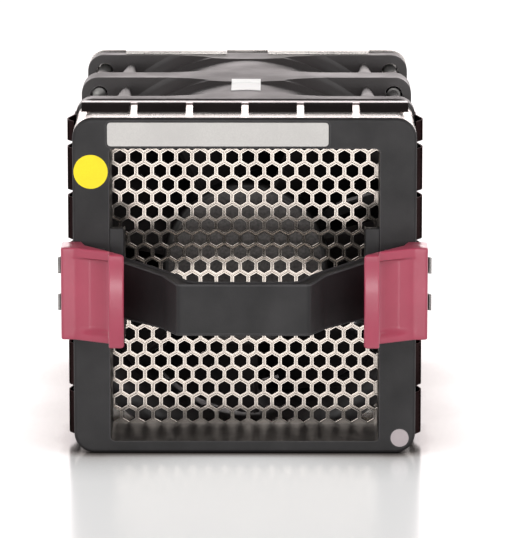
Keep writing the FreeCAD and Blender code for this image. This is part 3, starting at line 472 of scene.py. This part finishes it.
# painted shade: the side strips are the same spring metal, made darker and duller in colour and specular
# tint
tree, shader = metal("side_spring_painted_shade", (0.030, 0.023, 0.023), (0.055, 0.043, 0.043), 0.32, spread=0.1)
shader.inputs["Specular Tint"].default_value = (0.25, 0.21, 0.21, 1.0)
metal("dull_zinc", (0.16, 0.155, 0.15), (0.24, 0.235, 0.225), 0.42)
metal("steel", (0.45, 0.44, 0.43), (0.58, 0.57, 0.56), 0.30)
metal("brass", (0.50, 0.34, 0.14), (0.62, 0.44, 0.20), 0.30)
metal("copper", (0.50, 0.20, 0.09), (0.66, 0.29, 0.14), 0.32, scale=3.0, depth=0.5)
metal("contact_gold", (0.72, 0.50, 0.18), (0.85, 0.62, 0.26), 0.24)
print("metals:", list(finishes)[-8:])

# %% Films
printed("label_silver", (0.54, 0.52, 0.50), (0.61, 0.59, 0.565), 0.45)
printed("sticker_yellow", (0.93, 0.73, 0.004), (0.98, 0.80, 0.010), 0.6)
printed("sticker_white", (0.86, 0.85, 0.84), (0.92, 0.91, 0.90), 0.5)
own_finish = {"front_impeller": "impeller_black", "rear_impeller": "impeller_black",
              "hex_grille": "grille_nickel",
              "gasket_left": "side_spring_painted_shade", "gasket_right": "side_spring_painted_shade",
              "latch_hook_left": "dull_zinc", "latch_hook_right": "dull_zinc"}
for entry in frame["record"]["subparts"]:
    finish = own_finish.get(entry["node"], entry["material_slot"])
    nodes[entry["node"]].material_slots[0].material = finishes[finish]
print("finishes:", len(finishes))

# %% [markdown]
# ## Surfaces from arrays
# New pieces are skins over rings of points, worked out as whole arrays.  A ring may be any closed outline,
# and the skin joins each ring to the next; the ends are closed by one face.  Sizes are in millimetres from
# the middle of the bezel's front face, and the frame gives that point.

# %% Helpers for lofted pieces
bezel_low, bezel_high = (np.array(corner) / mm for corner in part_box("bezel"))
origin = np.array([0.0, bezel_low[1], (bezel_low[2] + bezel_high[2]) / 2])


def local_box(node):
    """Corners of a CAD node's box in millimetres from the middle of the bezel's front face."""
    return [np.array(corner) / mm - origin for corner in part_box(node)]


def moulded_object(name, points, faces, sharp, finish):
    """Object from points in local millimetres; edges that turn by more than sharp degrees stay sharp."""
    mesh = bpy.data.meshes.new(name)
    mesh.from_pydata(((points + origin) * mm).tolist(), [], faces)
    work = bmesh.new()
    work.from_mesh(mesh)
    bmesh.ops.recalc_face_normals(work, faces=work.faces)
    work.to_mesh(mesh)
    work.free()
    mesh.polygons.foreach_set("use_smooth", np.ones(len(mesh.polygons), bool))
    mesh.set_sharp_from_angle(angle=math.radians(sharp))
    mesh.materials.append(finishes[finish])
    made = bpy.data.objects.new(name, mesh)
    scene.collection.objects.link(made)
    print(name, len(mesh.vertices), "vertices")
    return made


def skin(name, parts, slot, body, replaced, sharp=32.0, finish=None):
    """Makes one object from several ring arrays (stations x points x 3, in local millimetres)."""
    vertices = []
    faces = []
    base = 0
    for rings in parts:
        stations, around = rings.shape[:2]
        index = base + np.arange(stations * around).reshape(stations, around)
        ahead = np.roll(index, -1, axis=1)
        quads = np.stack([index[:-1], ahead[:-1], ahead[1:], index[1:]], axis=-1).reshape(-1, 4)
        faces += quads.tolist()
        faces.append(index[0].tolist())
        faces.append(index[-1].tolist())
        vertices.append(rings.reshape(-1, 3))
        base += stations * around
    made = moulded_object(name, np.concatenate(vertices), faces, sharp, finish or slot)
    if body:
        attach(made, body)
    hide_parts(*replaced)
    return made


def rounded_line(points, rounds=3):
    """Smooth line from a few corners: each round cuts every corner at a quarter and three quarters."""
    line = np.array(points, float)
    for _ in range(rounds):
        cut = np.stack([0.75 * line[:-1] + 0.25 * line[1:], 0.25 * line[:-1] + 0.75 * line[1:]], axis=1)
        line = np.concatenate([line[:1], cut.reshape(-1, line.shape[1]), line[-1:]])
    return line


def even_pair(first, second, count):
    """Samples two lines of equal length at the same places, spaced evenly along the first."""
    steps = np.linalg.norm(np.diff(first, axis=0), axis=1)
    along = np.concatenate([[0.0], np.cumsum(steps)])
    place = np.interp(np.linspace(0.0, along[-1], count), along, np.arange(len(first)))
    return [np.stack([np.interp(place, np.arange(len(line)), line[:, i]) for i in range(2)], axis=1)
            for line in (first, second)]


def outline(corners, spacing=0.2):
    """Closed line through corners (x, y, radius): a parabola rounds each, and points follow evenly."""
    points = np.array([corner[:2] for corner in corners], float)
    radius = np.array([corner[2] for corner in corners], float)[:, None]
    back = np.roll(points, 1, axis=0) - points
    ahead = np.roll(points, -1, axis=0) - points
    back /= np.linalg.norm(back, axis=1)[:, None]
    ahead /= np.linalg.norm(ahead, axis=1)[:, None]
    half_angle = np.arccos(np.clip((back * ahead).sum(axis=1), -1, 1))[:, None] / 2
    cut = np.maximum(radius / np.tan(half_angle), 0.01)
    t = np.linspace(0.0, 1.0, 9)[None, :, None]
    start_point = (points + back * cut)[:, None]
    end_point = (points + ahead * cut)[:, None]
    curve = (1 - t) ** 2 * start_point + 2 * t * (1 - t) * points[:, None] + t ** 2 * end_point
    line = curve.reshape(-1, 2)
    line = np.concatenate([line, line[:1]])
    along = np.concatenate([[0.0], np.cumsum(np.linalg.norm(np.diff(line, axis=0), axis=1))])
    place = np.linspace(0.0, along[-1], int(along[-1] / spacing), endpoint=False)
    return np.stack([np.interp(place, along, line[:, 0]), np.interp(place, along, line[:, 1])], axis=1)


def stack(line, low, high, edge, levels=()):
    """Rings of one closed plan line from low to high, drawn in at both ends by a round edge."""
    turn = np.radians(np.linspace(0.0, 90.0, 6))
    rise = edge * (1 - np.sin(turn))
    drawn = edge * (1 - np.cos(turn))
    middle_levels = np.array(sorted(levels), float)
    z = np.concatenate([(low + rise)[::-1], middle_levels, high - rise])
    inset = np.concatenate([drawn[::-1], np.zeros(len(middle_levels)), drawn])
    tangent = np.roll(line, -1, axis=0) - np.roll(line, 1, axis=0)
    tangent /= np.linalg.norm(tangent, axis=1)[:, None]
    inwards = np.stack([-tangent[:, 1], tangent[:, 0]], axis=1)
    following = np.roll(line, -1, axis=0)
    area = (line[:, 0] * following[:, 1] - following[:, 0] * line[:, 1]).sum()
    inwards *= np.sign(area)
    flat = line[None] + inset[:, None, None] * inwards[None]
    return np.concatenate([flat, np.repeat(z[:, None, None], len(line), axis=1)], axis=-1)


def mirrored(parts):
    """Left-hand copies of right-hand ring arrays."""
    return [rings * np.array([-1.0, 1.0, 1.0]) for rings in parts]


# %% [markdown]
# ## Grille lips
# A punched and coined grille has a raised, rounded lip round every hexagon and a faint valley between
# neighbours.  One lip is six corners swept through a short profile; arrays of centres repeat it over the
# whole plate, so the lips cost no loop over points.

# %% Grille lips
plate_low, plate_high = local_box("hex_grille")
hex_pitch = 3.76
hole_apothem = 1.37
lip_height = 0.16
top_wall = 7.05
bottom_wall = 2.85
first_row = 1.9
bezel_half = bezel_high[2] - origin[2]
recess_half = local_box("handle")[1][0]
recess_top = bezel_half - top_wall
recess_bottom = bottom_wall - bezel_half
cell_half = hex_pitch / 2
lip_profile = np.array([  # distance from the hole's centre to a flat, depth behind the plate's front
    (cell_half - 0.045, 0.05), (cell_half - 0.10, -0.55 * lip_height), (cell_half - 0.19, -lip_height),
    (hole_apothem + 0.10, -lip_height), (hole_apothem + 0.04, -0.75 * lip_height), (hole_apothem, 0.0),
    (hole_apothem - 0.02, plate_high[1] - plate_low[1])])
row_pitch = hex_pitch * math.sqrt(3) / 2
rows = int((recess_top - first_row - recess_bottom) / row_pitch) + 1
columns = int(2 * recess_half / hex_pitch) + 1
row, column = np.meshgrid(np.arange(rows), np.arange(columns), indexing="ij")
centre_x = (-recess_half + (row % 2) * hex_pitch / 2 + column * hex_pitch).ravel()
centre_z = (recess_top - first_row - row * row_pitch).ravel()
angle = np.radians(60 * np.arange(6))
reach = lip_profile[:, 0] / math.cos(math.radians(30))
ring_x = reach[:, None] * np.sin(angle)
ring_z = reach[:, None] * np.cos(angle)
ring_y = np.repeat(plate_low[1] + lip_profile[:, 1:2], 6, axis=1)


def lip_mesh():
    """Each lip is a closed ring: point = centre + ring(level), and the last level joins the first."""
    rings = np.stack([ring_x, ring_y, ring_z], axis=-1)
    centres = np.stack([centre_x, np.zeros_like(centre_x), centre_z], axis=-1)
    points = centres[:, None, None, :] + rings[None]
    lips, levels = points.shape[:2]
    index = np.arange(lips * levels * 6).reshape(lips, levels, 6)
    ahead = np.roll(index, -1, axis=2)
    below = np.roll(index, -1, axis=1)
    both = np.roll(ahead, -1, axis=1)
    quads = np.stack([index, below, both, ahead], axis=-1).reshape(-1, 4)
    return points.reshape(-1, 3), quads


lip_points, lip_quads = lip_mesh()
lips = moulded_object("grille_lips", lip_points, lip_quads.tolist(), 28.0, "grille_nickel")
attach(lips, "chassis")
print("grille lips:", len(centre_x), "faces:", len(lip_quads))

# %% [markdown]
# ## Handle
# The strap is one moulding of even thickness: a flat front plate, two slanting arms and a foot against each
# recess wall.  Its skin runs between an outer and an inner line in plan, and every ring is an upright
# rectangle with round corners, so that all long edges catch a soft highlight.  Each foot is a taller pad of
# its own, stacked level by level and slightly tapered, as the mould needs.

# %% Handle
handle_low, handle_high = local_box("handle")
foot_x = handle_high[0]
foot_y = handle_high[1]
front_y = handle_low[1]
foot_height = handle_high[2]
strap = 3.4
plate_half = 15.25
bend = (18.6, -18.6)
foot_start = 0.4
back_y = front_y + strap
inner_foot = foot_x - strap
outer_line = [(0.0, front_y), (plate_half - 2.0, front_y), (plate_half, front_y),
              (plate_half + 0.7, front_y + 2.0), (bend[0] - 0.9, bend[1] - 2.7), bend,
              (bend[0] + 1.3, bend[1] + 2.0), (foot_x - 1.9, foot_start - 3.0),
              (foot_x - 0.4, foot_start - 0.6), (foot_x, foot_start + 0.8)]
inner_line = [(0.0, back_y), (8.0, back_y), (10.8, back_y + 0.1), (12.4, back_y + 1.0),
              (13.6, back_y + 2.7), (14.6, back_y + 5.4), (16.4, bend[1] + 3.6),
              (inner_foot - 1.6, foot_start - 1.3), (inner_foot - 0.4, foot_start + 0.5),
              (inner_foot + 0.3, foot_start + 1.6)]
outer_half, inner_half = even_pair(rounded_line(outer_line, 2), rounded_line(inner_line, 2), 110)
level = np.interp(outer_half[:, 1], [front_y, bend[1], -0.7, -0.25, 0.15, 0.5, 2.0],
                  [5.95, 6.3, 6.85, 6.95, 7.2, 7.7, 7.7])


def upright_rings(outer, inner, half_height, corner):
    """Rings between two plan lines: rectangles half_height up and down, with corners of radius corner."""
    turn = np.radians(np.linspace(0.0, 90.0, 5))
    side = np.concatenate([corner * (1 - np.sin(turn)), corner * (1 - np.cos(turn))])
    rise = np.concatenate([corner * (1 - np.cos(turn)), corner * (1 - np.sin(turn))])
    away = inner - outer
    width = np.linalg.norm(away, axis=1)
    along = away / width[:, None]
    near = np.minimum(side[None, :5], width[:, None] / 2)
    drop = rise[None, :5] * np.ones_like(near)
    top_near = (near, half_height[:, None] - drop)
    top_far = (width[:, None] - near[:, ::-1], half_height[:, None] - drop[:, ::-1])
    across = np.concatenate([top_near[0], top_far[0], top_far[0][:, ::-1], top_near[0][:, ::-1]], axis=1)
    up = np.concatenate([top_near[1], top_far[1], -top_far[1][:, ::-1], -top_near[1][:, ::-1]], axis=1)
    flat = outer[:, None, :] + along[:, None, :] * across[..., None]
    return np.concatenate([flat, up[..., None]], axis=-1)


flip = np.array([-1.0, 1.0])
outer_all = np.concatenate([(outer_half * flip)[:0:-1], outer_half])
inner_all = np.concatenate([(inner_half * flip)[:0:-1], inner_half])
level_all = np.concatenate([level[:0:-1], level])
strap_rings = upright_rings(outer_all, inner_all, level_all, 0.35)
strap_rings[..., 2] += np.interp(strap_rings[..., 1], [front_y, -6.0], [0.1, 0.0])
foot_plan = outline([(foot_x, foot_start, 0.3), (foot_x, foot_y, 1.2), (inner_foot, foot_y, 1.2),
                     (inner_foot, foot_start, 0.5)])
foot = stack(foot_plan, -foot_height, foot_height, 0.4)
foot[..., 2] *= np.interp(foot[..., 1], [foot_start, foot_y], [0.985, 0.86])
skin("strap_handle", [strap_rings, foot] + mirrored([foot]), "bezel_black", "chassis", ["handle"])

# %% [markdown]
# ## Latches
# A thumb presses the scooped block and a finger hooks behind the fin.  One closed plan line gives the
# sweep, and it is repeated level by level: the thumb face sinks between its rims, most where the block
# meets the fin, and the fin's front face bulges in the middle so that it catches one band of light.  The
# neck and the two knuckles behind the bezel follow the same rings and cylinders as the real moulding.

# %% Latches
latch_low, latch_high = local_box("latch_right")
pin_low, pin_high = local_box("latch_pin_right")
pivot = (pin_low + pin_high) / 2
side_x = latch_high[0]
half_height = latch_high[2]
tip_y = latch_low[1]
face_y = -8.75
fin_outer = recess_half - 0.5
fin_inner = fin_outer - 3.75
shoulder_x = side_x - 3.0
wall = (fin_outer + 0.2, -13.6)
latch_plan = outline([
    (side_x, -0.5, 0.5), (side_x, face_y + 0.1, 0.9), (shoulder_x, face_y, 2.5), (*wall, 0.35),
    (fin_outer + 0.1, tip_y, 0.5), (fin_inner, tip_y, 0.7), (fin_outer - 1.2, -14.2, 2.5),
    (side_x - 5.6, -5.0, 2.5), (side_x - 4.5, -0.5, 0.3)])
scoop_side = side_x - 1.8
scoop_width = 8.6
scoop_depth = 1.45
crease_x = 35.6
crease_depth = 0.07
tip_start = -15.0


def latch_rings():
    """The plan line at each level, z upwards.

    On the thumb face y grows by the scoop, scoop_depth s(across) upper sin(lower), with s(t) = 3tt - 2ttt.
    Towards the tip y grows by z z / 52 above the middle and by z z / 100 below it, so that the fin's front
    face bulges, and its inner top corner is rounded.
    """
    low_rim = np.linspace(-9.4, -6.4, 13)
    high_rim = np.linspace(7.9, 9.2, 10)
    levels = np.concatenate([low_rim, np.linspace(-5.8, 7.6, 15), high_rim])
    rings = stack(latch_plan, -half_height, half_height, 0.40, levels)
    x, y, z = rings[..., 0], rings[..., 1], rings[..., 2]
    slope = (wall[1] - face_y) / (wall[0] - shoulder_x)
    face = np.where(x > shoulder_x, face_y, face_y + slope * (x - shoulder_x))
    on_face = (np.abs(y - face) < 0.9) & (x > wall[0] + 0.05) & (x < side_x - 1.2)
    across = np.clip((scoop_side - x) / scoop_width, 0.0, 1.0)
    upper = np.clip((8.75 - z) / 0.5, 0.0, 1.0)
    lower = np.clip((z + 9.3) / 1.9, 0.0, 1.0)
    sink = scoop_depth * (across * across * (3 - 2 * across)) * upper * np.sin(lower * math.pi / 2)
    past_crease = np.clip((crease_x - x) / 0.3, 0.0, 1.0)
    before_wall = np.clip((x - wall[0] - 1.0) / 0.3, 0.0, 1.0)
    crease = crease_depth * past_crease * before_wall * upper * (lower > 0.99)
    rings[..., 1] += np.where(on_face, sink + crease, 0.0)
    forwards = np.clip((tip_start - y) / (tip_start - tip_y - 0.4), 0.0, 1.0)
    rings[..., 1] += forwards * np.where(z > 0, z * z / 52.0, z * z / 100.0)
    inner = np.clip((fin_inner + 1.25 - x) / 1.25, 0.0, 1.0)
    rings[..., 2] -= 1.2 * (1 - np.sqrt(1 - inner * inner)) * (z / half_height) ** 5
    return rings


def tube_rings(x, y, outer, low, high, edge):
    """Solid round post along z with rounded ends."""
    angle = np.radians(np.arange(0.0, 360.0, 12.0))
    radii = np.array([outer - edge, outer, outer, outer - edge])
    levels = np.array([low, low + edge, high - edge, high])
    return np.stack([x + radii[:, None] * np.cos(angle), y + radii[:, None] * np.sin(angle),
                     np.repeat(levels[:, None], len(angle), axis=1)], axis=-1)


neck_x = pivot[0] + 0.4
neck_thickness = 1.8
neck_half = 8.4
neck_root = -6.8
spring_room = 3.4
spring_half = 3.3
knuckle_radius = 2.1
knuckle_middle = 5.8
knuckle_half = 2.6


def neck_slab(front, rear, low, high):
    """A flat of the neck between two depths and two heights."""
    outer_x = neck_x + neck_thickness
    corners = [(neck_x, front, 0.2), (outer_x, front, 0.2), (outer_x, rear, 0.2), (neck_x, rear, 0.2)]
    return stack(outline(corners), low, high, 0.2)


neck_end = pivot[1] - spring_room
neck = [neck_slab(neck_root, neck_end, -neck_half, neck_half),
        neck_slab(neck_end - 0.5, pivot[1], spring_half, neck_half),
        neck_slab(neck_end - 0.5, pivot[1], -neck_half, -spring_half)]
knuckles = [tube_rings(pivot[0], pivot[1], knuckle_radius, level - knuckle_half, level + knuckle_half, 0.2)
            for level in (-knuckle_middle, knuckle_middle)]
right_latch = [latch_rings()] + neck + knuckles
skin("latch_grip_right", right_latch, "latch_burgundy", "right_latch", ["latch_right"], sharp=45.0)
skin("latch_grip_left", mirrored(right_latch), "latch_burgundy", "left_latch", ["latch_left"], sharp=45.0)

# %% [markdown]
# ## Latch springs
# Each latch returns under a torsion spring: round wire in a close helix round the pin, with one leg on the
# pocket wall and one on the neck.

# %% Latch springs
def wire_rings(path, radius):
    """Round wire along a path: path + radius (cos a side + sin a up), both across the path."""
    path = np.array(path, float)
    ahead = np.gradient(path, axis=0)
    ahead /= np.linalg.norm(ahead, axis=1)[:, None]
    side = np.cross(ahead, [0.0, 0.0, 1.0])
    side /= np.linalg.norm(side, axis=1)[:, None]
    up = np.cross(side, ahead)
    angle = np.radians(np.arange(0.0, 360.0, 45.0))[:, None]
    return path[:, None] + radius * (np.cos(angle) * side[:, None] + np.sin(angle) * up[:, None])


spring_low, spring_high = local_box("latch_spring_right")
wire = 0.27
coil = 1.45
turns = 8.5
wall_x = spring_low[0] + wire
leg_y = spring_low[1]
leg_x = pivot[0] + 0.38 - wire
foot_z = spring_low[2] + wire
head_z = spring_high[2] - wire
turn = np.radians(np.linspace(180.0, 180.0 - turns * 360.0, 205))
helix = np.stack([pivot[0] + coil * np.cos(turn), pivot[1] + coil * np.sin(turn),
                  np.linspace(foot_z, head_z, len(turn))], axis=1)
wall_leg = rounded_line([(wall_x, leg_y, foot_z), (wall_x, pivot[1] - 3.0, foot_z),
                         (pivot[0] - coil, pivot[1] - 1.4, foot_z), tuple(helix[0])])
neck_leg = rounded_line([tuple(helix[-1]), (pivot[0] + coil, pivot[1] - 1.2, head_z),
                         (leg_x, pivot[1] - 2.9, head_z), (leg_x, leg_y, head_z)])
spring = [wire_rings(np.concatenate([wall_leg[:-1], helix, neck_leg[1:]]), wire)]
for side, parts, hand in (("right", spring, 1.0), ("left", mirrored(spring), -1.0)):
    wound = skin("wound_spring_" + side, parts, "spring_metal", None, ["latch_spring_" + side], sharp=60.0,
                 finish="steel")
    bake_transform(wound)

# %% [markdown]
# ## Screws
# Each screw is turned: a domed head, a plain shank and a blunt end, as rings round its own axis.  The
# head's inner rings sink where a cross of two bars crosses them, which gives the drive recess.

# %% Screws
def screw_rings(seat, axis, head_radius, head_height, shank_radius, length, countersunk=False):
    """Rings from the head's middle over its rim and down the shank; axis points out of the head.

    point = seat + u side + v other + axis (height - sunk), with (u, v) = radius (cos a, sin a).
    """
    axis = np.array(axis, float)
    side = np.array([0.0, 0.0, 1.0])
    other = np.cross(axis, side)
    angle = np.radians(np.arange(0.0, 360.0, 7.5))
    inner = np.linspace(0.03, 0.9, 13)
    dome = head_height * (0.80 + 0.20 * np.sqrt(np.maximum(0.0, 1 - inner ** 2)))
    rim = head_height * np.array([0.80, 0.6, 0.08])
    under = -0.02
    if countersunk:
        dome = np.zeros(len(inner))
        rim = np.array([0.0, -0.05, -0.12])
        under = -head_height
    head_radii = head_radius * np.concatenate([inner, [0.97, 1.0, 1.0]])
    radii = np.concatenate([head_radii, shank_radius * np.array([1.0, 1.0, 0.6])])
    heights = np.concatenate([dome, rim, [under, -length + 0.4, -length]])
    u = radii[:, None] * np.cos(angle)
    v = radii[:, None] * np.sin(angle)
    bar = 0.15 * head_radius
    arm = 0.62 * head_radius
    cross = (np.minimum(np.abs(u), np.abs(v)) < bar) & (np.maximum(np.abs(u), np.abs(v)) < arm)
    on_top = (np.arange(len(radii)) < len(inner))[:, None]
    rise = heights[:, None] - np.where(cross & on_top, 0.55 * head_height, 0.0)
    return np.array(seat, float) + side * u[..., None] + other * v[..., None] + axis * rise[..., None]


def screw_set(name, seats, axis, *sizes, finish="steel", countersunk=False):
    """One object for all the screws of a CAD node; an axis along x is mirrored on the left side."""
    outwards = [(axis[0] * math.copysign(1.0, seat[0]), axis[1], axis[2]) for seat in seats]
    parts = [screw_rings(seat, away, *sizes, countersunk) for seat, away in zip(seats, outwards)]
    skin(name + "_driven", parts, "steel", "chassis", [name], sharp=40.0, finish=finish)


def corner_seats(node, radius, seat_y):
    """Corners of a node's box, inwards by the head's radius, on the plane seat_y."""
    low, high = local_box(node)
    return [(sx * (high[0] - radius), seat_y, z)
            for sx in (-1, 1) for z in (low[2] + radius, high[2] - radius)]


rearwards = (0.0, 1.0, 0.0)
forwards = (0.0, -1.0, 0.0)
inwards = (-1.0, 0.0, 0.0)
pan_head = 2.2
grille_seats = corner_seats("grille_screws", pan_head, plate_high[1])
screw_set("grille_screws", grille_seats, rearwards, pan_head, 1.5, 1.25, 7.0)
long_low, long_high = local_box("long_screws")
long_head = 3.4
rear_seat = long_high[1] - 2.0
long_seats = corner_seats("long_screws", long_head, rear_seat)
screw_set("long_screws", long_seats, rearwards, long_head, 2.0, 1.65, rear_seat - long_low[1],
          finish="dull_zinc")
bolt_low, bolt_high = local_box("collar_screws")
bolt_head = 2.4
bolt_seat = bolt_low[1] + 2.0
bolt_seats = [seat for seat in corner_seats("collar_screws", bolt_head, bolt_seat)
              if seat[0] * seat[2] > 0]
screw_set("collar_screws", bolt_seats, forwards, bolt_head, 2.0, 1.25, bolt_high[1] - bolt_seat)
plug_low, plug_high = local_box("connector_screws")
plug_head = 1.9
plug_level = (plug_low[2] + plug_high[2]) / 2
plug_seats = [(sx * (plug_high[0] - plug_head), plug_high[1] - 1.5, plug_level) for sx in (-1, 1)]
screw_set("connector_screws", plug_seats, rearwards, plug_head, 1.5, 1.0, 4.5)
foot_low, foot_high = local_box("handle_screws")
foot_head = 1.9
foot_middle = (foot_low[1] + foot_high[1]) / 2
foot_seats = [(sx * inner_foot, foot_middle, z)
              for sx in (-1, 1) for z in (foot_low[2] + foot_head, foot_high[2] - foot_head)]
screw_set("handle_screws", foot_seats, inwards, foot_head, 0.9, 1.1, 6.0, countersunk=True)
